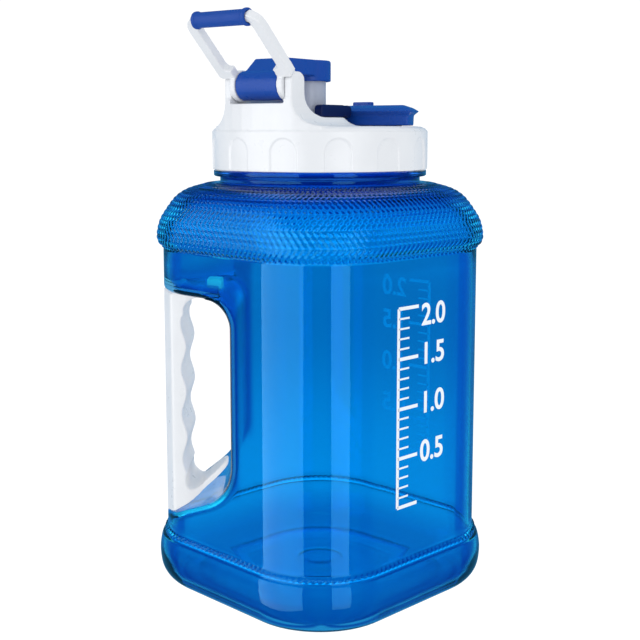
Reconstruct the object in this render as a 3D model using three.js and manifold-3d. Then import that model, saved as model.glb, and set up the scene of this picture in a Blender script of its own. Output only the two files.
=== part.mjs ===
// A 2.2 litre water jug: a square blown bottle with a snap-in corner handle and a
// screw cap that carries a flip-up drinking spout, a wide pour lid and a carrying bail.
// Millimetres, +Z up. The origin is the centre of the bottle's base; two opposite
// corners of the square lie on the X axis, and the handle is in the -X corner.
import * as THREE from 'three';
import { mergeVertices } from 'three/addons/utils/BufferGeometryUtils.js';
import Module from 'manifold-3d';

const wasm = await Module();
wasm.setup();

// ---- driving dimensions ---------------------------------------------------
const CORNER_REACH = 73.5; // axis to the rounded corner of the straight walls
const CORNER_FRACTION = 0.576; // corner radius over half the side
const WALL = 1.8;
const WALL_BOTTOM = 26.4; // top of the base band
const WALL_TOP = 159.7; // lower edge of the shoulder dome
const NECK_BASE = 190.5;
const NECK_GROOVE_R = 46.5;
const FLANGE_R = 49.4;
const FLANGE_Z = [193.3, 196.1];
const NECK_R = 45;
const MOUTH_R = 42.8;
const RIM_Z = 211.5;
const BOTTLE_SIDES = 48;

const THREAD_PITCH = 5;
const THREAD_TURNS = 1.2;
const THREAD_CREST_R = 46.9;
const THREAD_START_Z = 199.2;

const RECESS_CEILING = 140;
const RECESS_BACK = -38.6; // x of the flat wall behind the fingers
const RECESS_FILLET = 24; // where the recess's floor curves up into its back wall
const RAMP_SLOPE = 0.57; // the recess's floor rises towards the back wall
const RAMP_AXIS_Z = 75.5; // where that floor, carried on, would meet the bottle's axis
const HANDLE_CLEARANCE = 0.3;
const GRIP_INNER_X = -62.9; // mean inner face of the grip
const GRIP_HALF_WIDTH = 19;
const FINGER_PITCH = 21.4;
const FINGER_DEPTH = 1.2; // half the height of a finger wave
const FINGER_PHASE_Z = 94; // height of one bump
const STRAP = 2.6; // thickness of the handle's upper strap
const LOWER_STRAP = 3.5; // height of the lower strap, measured straight up
const LOWER_STRAP_SLOPE = 0.883;
const LOWER_STRAP_AXIS_Z = 93.7; // where its underside, carried on, would meet the axis
const LOWER_STRAP_END = -44.3; // x of its free end, near the back wall
const LOWER_STRAP_HALF_WIDTH = 10;
const LOWER_STRAP_TIP = 8; // rounding of that end's corners, seen from above
const SOCKET = { x: -49, halfLength: 4, halfWidth: 6, depth: 8 }; // takes the handle's clip

const CAP_ANGLE = THREE.MathUtils.degToRad(54); // the cap's own +x, from posts to pour lid
const CAP_R = 49.9;
const CAP_INNER_R = 47.4;
const CAP_BOTTOM = 196.4;
const DECK_Z = 216;
const DECK_UNDERSIDE = 213;
const CAP_THREAD_CREST_R = 45.9;
const ARCH_COUNT = 13;
const ARCH_WIDTH = 12.6;
const ARCH_TOP = 211;
const ARCH_DEPTH = 0.6;
const ARCH_PHASE = THREE.MathUtils.degToRad(-80.9 - 54); // in the cap's own frame

const RISER_HALF_WIDTH = 18.5;
const RISER_FILLET = 11;
const RISER_END = { x: -15.3, squash: 0.8 }; // centre and flattening of its rounded end
const RISER_POCKET = [-33, 2]; // hollow under the platform, round the spout's stem
const PLATFORM_Z = 219.8;
const POST_INNER = 14.8;
const POST_X = [-46, -36.5];
const POST_TOP = 239;
const POST_LEDGE_Z = 227.4; // top of the shoulder behind each post
const POST_WALL_TOP = 225.6; // wall between the posts, under the flip cap's barrel

const HINGE = { x: -41, z: 233.5 }; // axis of the flip cap and the bail
const HINGE_PIN_R = 1.6;
const BARREL_R = 6.5;
const BARREL_HALF = 11.3;
const HUB_R = 6.9;
const HUB_Y = [11.6, 14.5];

const SPOUT_X = -10;
const SPOUT_R = 8.6;
const SPOUT_TOP = 241.5;
const SPOUT_BORE_R = 5;
const STEM_R = 6.4;
const STEM_BOTTOM = 207;
const HEAD_R = 10.8;
const HEAD_BOTTOM = 236;
const FLIP_TOP = 245.4;
const FLIP_CEILING = 243.5; // inside of the flip cap's head

const BAIL_LEAN = THREE.MathUtils.degToRad(-46.5); // from upright, towards the posts' back
const BAIL_LENGTH = 38.2; // hinge axis to crossbar centre
const BAIL_HALF_WIDTH = 20;
const BAIL_ARM = [5.1, 3.9]; // width across, thickness
const BAIL_CLEAR = 6.1; // nearest the arms come to the hinge axis over the posts
const CROSSBAR_R = 2.2;
const GRIP_HALF = 14.2;
const GRIP_R = 3.3;

// The lid's outside, upwards: height, radius and x of the straight edge.
const POUR_LID_RINGS = [
  { z: 216.3, radius: 43.3, edge: 8.6 }, { z: 220.9, radius: 43.5, edge: 8.6 },
  { z: 222.8, radius: 45.8, edge: 6.4 }, { z: 224.3, radius: 43.2, edge: 9 },
  { z: 225.6, radius: 39.2, edge: 13 },
];
const POUR_LID_TOP = POUR_LID_RINGS.at(-1).z;
const LID_CEILING = 223.4; // inside of the hollow lid
const LID_RIB = { x: 36, halfLength: 2, halfWidth: 5.5, height: 2.2 }; // finger rib on the lid
const POUR_HOLE_R = 40;
const POUR_HOLE_EDGE = 11;
const POUR_HINGE = { x: 3, z: 222.7 };
const POUR_PIN_R = 1.2;
const KNUCKLE_R = 2.9;
const YOKE_Y = [9.9, 14];
const YOKE_BACK = -18;
const KNUCKLE_HALF = 9.3;

// ---- materials ------------------------------------------------------------
const plastic = (color, roughness) => new THREE.MeshStandardMaterial({ color, roughness, metalness: 0 });
const clearBlue = () => {
  const material = plastic(0x0a6fd0, 0.12);
  material.transparent = true;
  material.opacity = 0.55;
  return material;
};
const white = () => plastic(0xeef0f4, 0.35);
const blue = () => plastic(0x1d45a0, 0.35);
const silicone = () => plastic(0xdfe4ea, 0.6);
const steel = () => new THREE.MeshStandardMaterial({ color: 0xb8bcc2, roughness: 0.3, metalness: 1 });

// ---- solids ---------------------------------------------------------------
const signedVolume = (positions, triangles) => {
  const [a, b, c] = [new THREE.Vector3(), new THREE.Vector3(), new THREE.Vector3()];
  let volume = 0;
  for (let i = 0; i < triangles.length; i += 3) {
    a.fromArray(positions, 3 * triangles[i]);
    b.fromArray(positions, 3 * triangles[i + 1]);
    c.fromArray(positions, 3 * triangles[i + 2]);
    volume += a.dot(b.cross(c)) / 6;
  }
  return volume;
};

// A closed geometry as a manifold solid: shared vertices merged, slivers at poles dropped,
// faces turned outwards.
function solid(geometry) {
  geometry.deleteAttribute('normal');
  geometry.deleteAttribute('uv');
  const merged = mergeVertices(geometry, 1e-4);
  const positions = merged.attributes.position.array;
  const index = merged.index.array;
  const triangles = [];
  for (let i = 0; i < index.length; i += 3) {
    const [a, b, c] = [index[i], index[i + 1], index[i + 2]];
    if (a !== b && b !== c && c !== a) triangles.push(a, b, c);
  }
  if (signedVolume(positions, triangles) < 0) triangles.reverse();
  const mesh = new wasm.Mesh({
    numProp: 3,
    vertProperties: new Float32Array(positions),
    triVerts: new Uint32Array(triangles),
  });
  return new wasm.Manifold(mesh);
}

function mesh(name, body, material) {
  const { vertProperties, triVerts } = body.getMesh();
  const geometry = new THREE.BufferGeometry();
  geometry.setAttribute('position', new THREE.BufferAttribute(new Float32Array(vertProperties), 3));
  geometry.setIndex(new THREE.BufferAttribute(new Uint32Array(triVerts), 1));
  geometry.computeVertexNormals();
  const result = new THREE.Mesh(geometry, material);
  result.name = name;
  return result;
}

const union = (...bodies) => bodies.reduce((sum, body) => sum.add(body));
const cut = (body, ...tools) => tools.reduce((rest, tool) => rest.subtract(tool), body);

// An outline from corners [x, y, radius]: each corner with a radius becomes an arc.
function outline(corners, steps = 6) {
  const points = [];
  corners.forEach(([x, y, radius = 0], i) => {
    const corner = new THREE.Vector2(x, y);
    if (!radius) {
      points.push(corner);
      return;
    }
    const before = corners.at(i - 1);
    const after = corners[(i + 1) % corners.length];
    const inward = new THREE.Vector2(before[0], before[1]).sub(corner).normalize();
    const outward = new THREE.Vector2(after[0], after[1]).sub(corner).normalize();
    const half = Math.acos(THREE.MathUtils.clamp(inward.dot(outward), -1, 1)) / 2;
    const bisector = inward.clone().add(outward).normalize();
    const centre = corner.clone().addScaledVector(bisector, radius / Math.sin(half));
    const reach = radius / Math.tan(half);
    const start = corner.clone().addScaledVector(inward, reach).sub(centre);
    const turn = (Math.PI - 2 * half) * Math.sign(inward.cross(start));
    for (let k = 0; k <= steps; k += 1) {
      points.push(start.clone().rotateAround(new THREE.Vector2(), (turn * k) / steps).add(centre));
    }
  });
  return points;
}

const extrude = (points, depth) =>
  new THREE.ExtrudeGeometry(new THREE.Shape(points), { depth, bevelEnabled: false });

// A plan outline (x, y) from one height to another.
const slab = (points, bottom, top) => solid(extrude(points, top - bottom).translate(0, 0, bottom));

// A side outline (x, z) between two y values.
function sideSlab(points, y0, y1) {
  return solid(extrude(points, y1 - y0).rotateX(Math.PI / 2).translate(0, y1, 0));
}

// An end outline (y, z) between two x values.
function endSlab(points, x0, x1) {
  const turn = new THREE.Matrix4().makeBasis(
    new THREE.Vector3(0, 1, 0), new THREE.Vector3(0, 0, 1), new THREE.Vector3(1, 0, 0));
  return solid(extrude(points, x1 - x0).applyMatrix4(turn).translate(x0, 0, 0));
}

const rectangle = (x0, y0, x1, y1) => outline([[x0, y0], [x1, y0], [x1, y1], [x0, y1]]);

// A body of revolution about a vertical axis, from [radius, z] points.
function turned(profile, x = 0, segments = 48) {
  const points = profile.map(([r, z]) => new THREE.Vector2(r, z));
  return solid(new THREE.LatheGeometry(points, segments).rotateX(Math.PI / 2).translate(x, 0, 0));
}

const drum = (radius, bottom, top, x = 0, segments = 48) =>
  turned([[0, bottom], [radius, bottom], [radius, top], [0, top]], x, segments);

const tube = (inner, outer, bottom, top, x = 0, segments = 48) =>
  turned([[inner, bottom], [outer, bottom], [outer, top], [inner, top], [inner, bottom]], x, segments);

// A cylinder along y about the point (x, z).
function axle(radius, y0, y1, { x, z }, segments = 28) {
  const geometry = new THREE.CylinderGeometry(radius, radius, y1 - y0, segments);
  return solid(geometry.translate(x, (y0 + y1) / 2, z));
}

// Rings of equal length joined into one closed body, each end closed by a fan.
function loft(rings) {
  const count = rings[0].length;
  const positions = rings.flat().flatMap((p) => p.toArray());
  const index = [];
  for (let ring = 0; ring + 1 < rings.length; ring += 1) {
    for (let k = 0; k < count; k += 1) {
      const [a, b] = [ring * count + k, ring * count + ((k + 1) % count)];
      index.push(a, b, b + count, a, b + count, a + count);
    }
  }
  for (let k = 1; k + 1 < count; k += 1) {
    const last = (rings.length - 1) * count;
    index.push(0, k + 1, k, last, last + k, last + k + 1);
  }
  const geometry = new THREE.BufferGeometry();
  geometry.setAttribute('position', new THREE.Float32BufferAttribute(positions, 3));
  geometry.setIndex(index);
  return solid(geometry);
}

// ---- bottle ---------------------------------------------------------------
// Distance from the axis to a rounded square whose corners lie on the X and Y axes.
function squareRadius(angle, reach, fraction) {
  const half = reach / (Math.SQRT2 - fraction * (Math.SQRT2 - 1));
  const quarter = Math.PI / 2;
  const fromSide = Math.abs((((angle % quarter) + quarter) % quarter) - quarter / 2);
  const straight = half * (1 - fraction);
  if (half * Math.tan(fromSide) <= straight) return half / Math.cos(fromSide);
  const along = straight * (Math.cos(fromSide) + Math.sin(fromSide));
  const radius = half * fraction;
  return along + Math.sqrt(radius ** 2 - straight ** 2 * (1 - Math.sin(2 * fromSide)));
}

function squareRing({ z, reach, fraction }) {
  return Array.from({ length: BOTTLE_SIDES }, (_, k) => {
    const angle = (2 * Math.PI * k) / BOTTLE_SIDES;
    const r = squareRadius(angle, reach, fraction);
    return new THREE.Vector3(r * Math.cos(angle), r * Math.sin(angle), z);
  });
}

const station = (z, reach, fraction = CORNER_FRACTION) => ({ z, reach, fraction });

// The outside of the bottle from the middle of the base to the foot of the neck.
const BODY_STATIONS = [
  station(6, 12, 1), station(5.5, 44, 0.8), station(0, 58, 0.62), station(0, 67, 0.6),
  station(1.3, 71.2), station(4, 74.4), station(8, 76.5), station(14, 77.4), station(19, 77),
  station(23, 75.9), station(WALL_BOTTOM, CORNER_REACH), station(WALL_TOP, CORNER_REACH),
  station(162.2, 75.7), station(165, 76.7, 0.58), station(169, 76.3, 0.6), station(173.6, 74.8, 0.64),
  station(178, 72.1, 0.69), station(182, 69.2, 0.74), station(185, 66.2, 0.8),
  station(187.7, 61.4, 0.87), station(190, 53.5, 0.95),
];

// Stations moved inwards by the wall, square to the profile.
function insetStations(stations, wall) {
  return stations.map(({ z, reach, fraction }, i) => {
    const before = stations[Math.max(i - 1, 0)];
    const after = stations[Math.min(i + 1, stations.length - 1)];
    const [dr, dz] = [after.reach - before.reach, after.z - before.z];
    const length = Math.hypot(dr, dz);
    return station(z + (wall * dr) / length, reach - (wall * dz) / length, fraction);
  });
}

// A helical ridge between two radii, as wide at its root and crest as given.
function helixRidge(rootR, crestR, startZ, rootHalf, crestHalf) {
  const steps = 28;
  const rings = Array.from({ length: steps + 1 }, (_, k) => {
    const turn = (THREAD_TURNS * k) / steps;
    const angle = 2 * Math.PI * turn;
    const z = startZ + THREAD_PITCH * turn;
    const place = (r, dz) => new THREE.Vector3(r * Math.cos(angle), r * Math.sin(angle), z + dz);
    return [
      place(rootR, -rootHalf), place(crestR, -crestHalf), place(crestR, crestHalf), place(rootR, rootHalf)];
  });
  return loft(rings);
}

const rampHeight = (x) => RAMP_AXIS_Z + RAMP_SLOPE * x;

// The side outline of the finger recess, moved outwards by an offset.
function recessOutline(offset) {
  const back = RECESS_BACK + offset;
  const drop = offset * Math.hypot(1, RAMP_SLOPE);
  const outside = -95;
  return outline([
    [outside, RECESS_CEILING + 1 + offset], [outside, rampHeight(outside) - drop],
    [back, rampHeight(back) - drop, RECESS_FILLET + offset],
    [back, RECESS_CEILING + offset, 12 + offset],
  ]);
}

function recess(offset) {
  const [length, width] = [SOCKET.halfLength + offset, SOCKET.halfWidth + offset];
  const socket = slab(
    rectangle(SOCKET.x - length, -width, SOCKET.x + length, width),
    RECESS_CEILING - 6, RECESS_CEILING + SOCKET.depth + offset);
  return union(sideSlab(recessOutline(offset), -90, 90), socket);
}

function bottle() {
  const neck = [
    station(NECK_BASE, NECK_GROOVE_R, 1), station(FLANGE_Z[0], NECK_GROOVE_R, 1),
    station(FLANGE_Z[0] + 0.2, FLANGE_R, 1), station(FLANGE_Z[1], FLANGE_R, 1),
    station(FLANGE_Z[1] + 0.1, NECK_R, 1), station(RIM_Z, NECK_R, 1),
  ];
  const outside = loft([...BODY_STATIONS, ...neck].map(squareRing));
  const mouth = [station(NECK_BASE - 1, MOUTH_R, 1), station(RIM_Z + 5, MOUTH_R, 1)];
  const inside = loft([...insetStations(BODY_STATIONS, WALL), ...mouth].map(squareRing));
  const cavity = cut(inside, recess(WALL));
  const thread = helixRidge(NECK_R - 0.6, THREAD_CREST_R, THREAD_START_Z, 1.1, 0.6);
  return mesh('bottle', cut(union(outside, thread), recess(0), cavity), clearBlue());
}

// The handle fills the recess's mouth: a finger grip down the corner, a lower strap that
// bridges from the foot of the recess's floor to near its back wall, and an upper strap
// under the ceiling with a clip in the socket.
function handle() {
  const ceiling = RECESS_CEILING - HANDLE_CLEARANCE;
  const outer = -CORNER_REACH - 2;
  const upperEnd = RECESS_BACK - 12.4;
  const underside = (x) => LOWER_STRAP_AXIS_Z + LOWER_STRAP_SLOPE * x;
  const lift = HANDLE_CLEARANCE * Math.hypot(1, RAMP_SLOPE);
  const footX = (RAMP_AXIS_Z + lift - LOWER_STRAP_AXIS_Z) / (LOWER_STRAP_SLOPE - RAMP_SLOPE);
  const bendZ = underside(GRIP_INNER_X) + LOWER_STRAP;
  const pastEnd = LOWER_STRAP_END + 4; // the plan below trims the strap to its length
  const [waveBottom, waveTop] = [bendZ + 13, ceiling - 10];
  const waves = Array.from({ length: 33 }, (_, k) => {
    const z = waveBottom + ((waveTop - waveBottom) * k) / 32;
    const wave = Math.cos((2 * Math.PI * (z - FINGER_PHASE_Z)) / FINGER_PITCH);
    return new THREE.Vector2(GRIP_INNER_X + FINGER_DEPTH * wave, z);
  });
  const lower = outline([
    [outer, rampHeight(outer) + lift], [footX, underside(footX)],
    [pastEnd, underside(pastEnd)], [pastEnd, underside(pastEnd) + LOWER_STRAP],
    [GRIP_INNER_X, bendZ, 4], [GRIP_INNER_X, waveBottom],
  ]);
  const upper = outline([
    [GRIP_INNER_X, waveTop], [GRIP_INNER_X, ceiling - STRAP, 5], [upperEnd, ceiling - STRAP],
    [upperEnd, ceiling], [outer, ceiling + 0.8],
  ]);
  const profile = sideSlab([...lower, ...waves, ...upper], -60, 60);
  const corner = [20, 150].map((z) => squareRing(station(z, CORNER_REACH + 0.3)));
  const grip = GRIP_HALF_WIDTH;
  const strap = LOWER_STRAP_HALF_WIDTH;
  const plan = slab(outline([
    [-80, -grip, 3], [-61, -grip, 5], [-55, -strap, 3], [LOWER_STRAP_END, -strap, LOWER_STRAP_TIP],
    [LOWER_STRAP_END, strap, LOWER_STRAP_TIP], [-55, strap, 3], [-61, grip, 5], [-80, grip, 3],
  ]), 20, 150);
  const clipWidth = SOCKET.halfWidth - 0.5;
  const clipLength = SOCKET.halfLength - 0.5;
  const clip = slab(
    rectangle(SOCKET.x - clipLength, -clipWidth, SOCKET.x + clipLength, clipWidth),
    ceiling - STRAP, RECESS_CEILING + SOCKET.depth - 3);
  const bracket = profile.intersect(loft(corner)).intersect(plan);
  return mesh('handle', union(bracket, clip), white());
}

// ---- cap, in its own frame: +x from the hinge posts towards the pour lid ----
const dShape = (radius, edge) => {
  const limit = Math.acos(edge / radius);
  return Array.from({ length: 33 }, (_, k) => {
    const angle = -limit + (2 * limit * k) / 32;
    return new THREE.Vector2(radius * Math.cos(angle), radius * Math.sin(angle));
  });
};

// The wide fillet where a side of the riser runs out onto the deck, as points from the
// deck upwards.
function riserFillet(foot) {
  return Array.from({ length: 7 }, (_, k) => {
    const angle = (Math.PI * k) / 12;
    return [foot - RISER_FILLET * Math.sin(angle), DECK_Z + RISER_FILLET * (1 - Math.cos(angle))];
  });
}

function riser() {
  const base = DECK_UNDERSIDE + 1;
  const above = POST_TOP + 5;
  const side = outline([
    [-60, base], [RISER_END.x, base], [RISER_END.x, PLATFORM_Z],
    [POST_X[1], PLATFORM_Z, RISER_FILLET], [POST_X[1], POST_TOP, 4], [POST_X[0], POST_TOP, 4],
    [POST_X[0], POST_LEDGE_Z, 2], [-60, POST_LEDGE_Z - 3],
  ]);
  const foot = RISER_HALF_WIDTH + RISER_FILLET;
  const flank = [[foot, base], ...riserFillet(foot), [RISER_HALF_WIDTH, above]];
  const section = [...flank, ...flank.map(([y, z]) => [-y, z]).reverse()];
  const block = sideSlab(side, -foot, foot)
    .intersect(endSlab(section.map(([y, z]) => new THREE.Vector2(y, z)), -60, RISER_END.x))
    .intersect(drum(CAP_R - 0.4, DECK_UNDERSIDE, above));
  const end = turned([[0, base], ...flank, [0, above]])
    .intersect(drum(foot, base, PLATFORM_Z))
    .scale([RISER_END.squash, 1, 1])
    .translate([RISER_END.x, 0, 0]);
  const between = sideSlab(rectangle(-60, POST_WALL_TOP, HINGE.x + 2, above), -POST_INNER, POST_INNER);
  const sweep = axle(HUB_R + 0.9, -POST_INNER, POST_INNER, HINGE, 40);
  return cut(union(block, end), between, sweep);
}

function archTools() {
  const top = ARCH_TOP - ARCH_WIDTH / 2;
  const arc = Array.from({ length: 9 }, (_, k) => {
    const angle = (Math.PI * k) / 8;
    return new THREE.Vector2((ARCH_WIDTH / 2) * Math.cos(angle), top + (ARCH_WIDTH / 2) * Math.sin(angle));
  });
  const shape = [new THREE.Vector2(-ARCH_WIDTH / 2, CAP_BOTTOM - 1),
    new THREE.Vector2(ARCH_WIDTH / 2, CAP_BOTTOM - 1), ...arc];
  const ring = tube(CAP_R - ARCH_DEPTH, CAP_R + 3, CAP_BOTTOM - 2, ARCH_TOP + 1, 0, 52);
  return Array.from({ length: ARCH_COUNT }, (_, k) => {
    const angle = ARCH_PHASE + (2 * Math.PI * k) / ARCH_COUNT;
    const degrees = THREE.MathUtils.radToDeg(angle);
    return endSlab(shape, CAP_R - 4, CAP_R + 2).rotate([0, 0, degrees]).intersect(ring);
  });
}

function capShell() {
  const shell = turned([
    [0, DECK_UNDERSIDE], [CAP_INNER_R, DECK_UNDERSIDE], [CAP_INNER_R, CAP_BOTTOM], [CAP_R, CAP_BOTTOM],
    [CAP_R, 213.6], [CAP_R - 0.9, 214.9], [CAP_R - 3, 215.8], [CAP_R - 6.4, DECK_Z], [0, DECK_Z]], 0, 52);
  const threadStart = THREAD_START_Z + THREAD_PITCH / 2;
  const thread = helixRidge(CAP_INNER_R + 0.5, CAP_THREAD_CREST_R, threadStart, 1.1, 0.6);
  const pourHole = slab(dShape(POUR_HOLE_R, POUR_HOLE_EDGE), DECK_UNDERSIDE - 1, PLATFORM_Z + 1);
  const pocket = slab(
    rectangle(RISER_POCKET[0], -POST_INNER, RISER_POCKET[1], POST_INNER),
    DECK_UNDERSIDE - 1, PLATFORM_Z - WALL - 0.7);
  const spoutHole = drum(STEM_R + 0.3, DECK_UNDERSIDE - 1, PLATFORM_Z + 1, SPOUT_X, 24);
  const pinHole = axle(HINGE_PIN_R + 0.05, -POST_INNER - 2.6, POST_INNER + 2.6, HINGE, 16);
  const body = cut(
    union(shell, riser(), thread), pourHole, pocket, spoutHole, pinHole, ...archTools());
  return mesh('cap_shell', body, white());
}

const capGasket = () => mesh(
  'cap_gasket', tube(MOUTH_R + 0.6, CAP_INNER_R - 0.6, RIM_Z + 0.3, DECK_UNDERSIDE - 0.3), silicone());

function spout() {
  const body = turned([
    [SPOUT_BORE_R, STEM_BOTTOM], [STEM_R, STEM_BOTTOM], [STEM_R, PLATFORM_Z + 0.3],
    [SPOUT_R, PLATFORM_Z + 0.3], [SPOUT_R, SPOUT_TOP - 3], [SPOUT_R - 1, SPOUT_TOP],
    [SPOUT_BORE_R, SPOUT_TOP], [SPOUT_BORE_R, STEM_BOTTOM]], SPOUT_X, 32);
  return mesh('spout', body, white());
}

function flipCap() {
  const armHalf = 9.2;
  const arm = sideSlab(outline([
    [HINGE.x - 4, HINGE.z + 4], [HINGE.x - 1.6, HINGE.z + BARREL_R], [HINGE.x + 5, FLIP_TOP],
    [SPOUT_X, FLIP_TOP], [SPOUT_X, FLIP_TOP - 7], [HINGE.x + 12, FLIP_TOP - 7], [HINGE.x + 5, HINGE.z],
  ]), -armHalf, armHalf);
  const barrel = axle(BARREL_R, -BARREL_HALF, BARREL_HALF, HINGE);
  const head = turned([[0, HEAD_BOTTOM], [HEAD_R, HEAD_BOTTOM], [HEAD_R, FLIP_TOP - 0.6],
    [HEAD_R - 0.6, FLIP_TOP], [0, FLIP_TOP]], SPOUT_X, 40);
  const hollow = drum(SPOUT_R + 0.5, HEAD_BOTTOM - 4, FLIP_CEILING, SPOUT_X, 32);
  const bore = axle(HINGE_PIN_R + 0.3, -BARREL_HALF - 1, BARREL_HALF + 1, HINGE, 16);
  return mesh('flip_cap', cut(union(arm, barrel, head), hollow, bore), blue());
}

function flipCapSeal() {
  const body = turned([
    [0, SPOUT_TOP - 1.2], [3.6, SPOUT_TOP - 1.2], [4.2, SPOUT_TOP + 0.3], [SPOUT_R, SPOUT_TOP + 0.3],
    [SPOUT_R, FLIP_CEILING - 0.3], [0, FLIP_CEILING - 0.3]], SPOUT_X, 32);
  return mesh('flip_cap_seal', body, silicone());
}

const hingePin = () => mesh(
  'hinge_pin', axle(HINGE_PIN_R, -POST_INNER - 2.2, POST_INNER + 2.2, HINGE, 16), steel());

// The bail stands upright here and is leaned back about the hinge axis afterwards.
function leanBack(body) {
  return body.translate([-HINGE.x, 0, -HINGE.z])
    .rotate([0, THREE.MathUtils.radToDeg(BAIL_LEAN), 0])
    .translate([HINGE.x, 0, HINGE.z]);
}

function bail() {
  const [armWidth, armThick] = BAIL_ARM;
  const inner = BAIL_HALF_WIDTH - armWidth;
  const top = HINGE.z + BAIL_LENGTH + armWidth / 2;
  const foot = HINGE.z + BAIL_CLEAR;
  const shelf = foot + 4.6;
  const loop = outline([
    [BAIL_HALF_WIDTH, foot, 2], [BAIL_HALF_WIDTH, top, 7], [-BAIL_HALF_WIDTH, top, 7],
    [-BAIL_HALF_WIDTH, foot, 2], [-HUB_Y[0], foot], [-HUB_Y[0], shelf], [-inner, shelf, 2],
    [-inner, top - armWidth, 2], [inner, top - armWidth, 2], [inner, shelf, 2], [HUB_Y[0], shelf],
    [HUB_Y[0], foot],
  ], 4);
  const frame = endSlab(loop, HINGE.x - armThick / 2, HINGE.x + armThick / 2);
  const hub = (y0, y1) => union(
    axle(HUB_R, y0, y1, HINGE),
    sideSlab(rectangle(HINGE.x - armThick / 2, HINGE.z, HINGE.x + armThick / 2, foot + 2), y0, y1));
  const crossZ = HINGE.z + BAIL_LENGTH;
  const room = sideSlab(
    rectangle(HINGE.x - 9, crossZ - 9, HINGE.x + 9, crossZ + 9), -GRIP_HALF - 0.3, GRIP_HALF + 0.3);
  const core = axle(CROSSBAR_R, -GRIP_HALF - 2, GRIP_HALF + 2, { x: HINGE.x, z: crossZ }, 16);
  const bore = axle(HINGE_PIN_R + 0.3, -POST_INNER - 3, POST_INNER + 3, HINGE, 16);
  const body = union(cut(frame, room), hub(-HUB_Y[1], -HUB_Y[0]), hub(...HUB_Y), core);
  return mesh('bail', leanBack(cut(body, bore)), white());
}

function bailGrip() {
  const place = { x: HINGE.x, z: HINGE.z + BAIL_LENGTH };
  const flare = (y0, y1) => axle(GRIP_R + 0.45, y0, y1, place, 20);
  const sleeve = union(
    axle(GRIP_R, -GRIP_HALF + 1, GRIP_HALF - 1, place, 20),
    flare(-GRIP_HALF, -GRIP_HALF + 1.6), flare(GRIP_HALF - 1.6, GRIP_HALF));
  const bore = axle(CROSSBAR_R + 0.3, -GRIP_HALF - 1, GRIP_HALF + 1, place, 16);
  return mesh('bail_grip', leanBack(cut(sleeve, bore)), blue());
}

function pourLid() {
  const outside = loft(POUR_LID_RINGS.map(({ z, radius, edge }) =>
    dShape(radius, edge).map(({ x, y }) => new THREE.Vector3(x, y, z))));
  const spigot = slab(
    dShape(POUR_HOLE_R - 2.6, POUR_HOLE_EDGE + 2.6), DECK_UNDERSIDE, POUR_LID_RINGS[0].z + 0.1);
  const rib = slab(outline([
    [LID_RIB.x - LID_RIB.halfLength, -LID_RIB.halfWidth, 1.5],
    [LID_RIB.x + LID_RIB.halfLength, -LID_RIB.halfWidth, 1.5],
    [LID_RIB.x + LID_RIB.halfLength, LID_RIB.halfWidth, 1.5],
    [LID_RIB.x - LID_RIB.halfLength, LID_RIB.halfWidth, 1.5]], 3),
  POUR_LID_TOP - 1.2, POUR_LID_TOP + LID_RIB.height);
  const lug = sideSlab(
    rectangle(POUR_HINGE.x, POUR_HINGE.z - 2.2, POUR_HOLE_EDGE, POUR_HINGE.z + 2.2),
    -KNUCKLE_HALF, KNUCKLE_HALF);
  const knuckle = axle(KNUCKLE_R, -KNUCKLE_HALF, KNUCKLE_HALF, POUR_HINGE, 16);
  const hollow = slab(
    dShape(POUR_HOLE_R - 4.6, POUR_HOLE_EDGE + 4.6), DECK_UNDERSIDE - 1, LID_CEILING);
  const bore = axle(POUR_PIN_R + 0.3, -12, 12, POUR_HINGE, 12);
  return mesh('pour_lid', cut(union(outside, spigot, rib, lug, knuckle), hollow, bore), blue());
}

function pourLidSeal() {
  const ring = cut(
    slab(dShape(POUR_HOLE_R - 0.9, POUR_HOLE_EDGE + 0.9), DECK_UNDERSIDE + 0.4, DECK_Z - 0.3),
    slab(dShape(POUR_HOLE_R - 2.3, POUR_HOLE_EDGE + 2.3), DECK_UNDERSIDE - 1, DECK_Z + 1));
  return mesh('pour_lid_seal', ring, silicone());
}

function pourLidBracket() {
  const bottom = PLATFORM_Z + 0.3;
  const front = POUR_HINGE.x - 4;
  const arm = (y0, y1) => union(
    sideSlab(outline([
      [YOKE_BACK, bottom], [front, bottom], [front, POUR_LID_TOP], [YOKE_BACK, POUR_LID_TOP, 2],
    ], 4), y0, y1),
    sideSlab(rectangle(front - 1, POUR_HINGE.z - 2, POUR_HINGE.x, POUR_HINGE.z + 2.7), y0, y1),
    axle(KNUCKLE_R - 0.1, y0, y1, POUR_HINGE, 16));
  const bridge = sideSlab(
    rectangle(front - 0.8, bottom, front + 0.8, bottom + 1.6), -YOKE_Y[0], YOKE_Y[0]);
  const bore = axle(POUR_PIN_R + 0.05, -13, 13, POUR_HINGE, 12);
  const gap = drum(SPOUT_R + 0.3, bottom - 1, bottom + 6, SPOUT_X, 32);
  const body = union(arm(-YOKE_Y[1], -YOKE_Y[0]), arm(...YOKE_Y), bridge);
  return mesh('pour_lid_bracket', cut(body, bore, gap), blue());
}

const pourLidPin = () => mesh('pour_lid_pin', axle(POUR_PIN_R, -12.6, 12.6, POUR_HINGE, 12), steel());

// ---- assembly -------------------------------------------------------------
const cap = new THREE.Group();
cap.rotation.z = CAP_ANGLE;
cap.add(
  capShell(), capGasket(), spout(), flipCap(), flipCapSeal(), hingePin(), bail(), bailGrip(),
  pourLid(), pourLidSeal(), pourLidBracket(), pourLidPin());

const jug = new THREE.Group();
jug.add(bottle(), handle(), cap);
export default jug;
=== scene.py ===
# The looks of a 2.2 litre water jug: clear blue bottle with a woven relief, white corner
# handle, and a white screw cap with a blue flip cap, a blue pour lid and a carrying bail.
# Metres, in the row frame: +Z up, the handle's corner towards -X.
import math

import bmesh
import bpy
import numpy as np
from mathutils import Matrix, Vector


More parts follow.
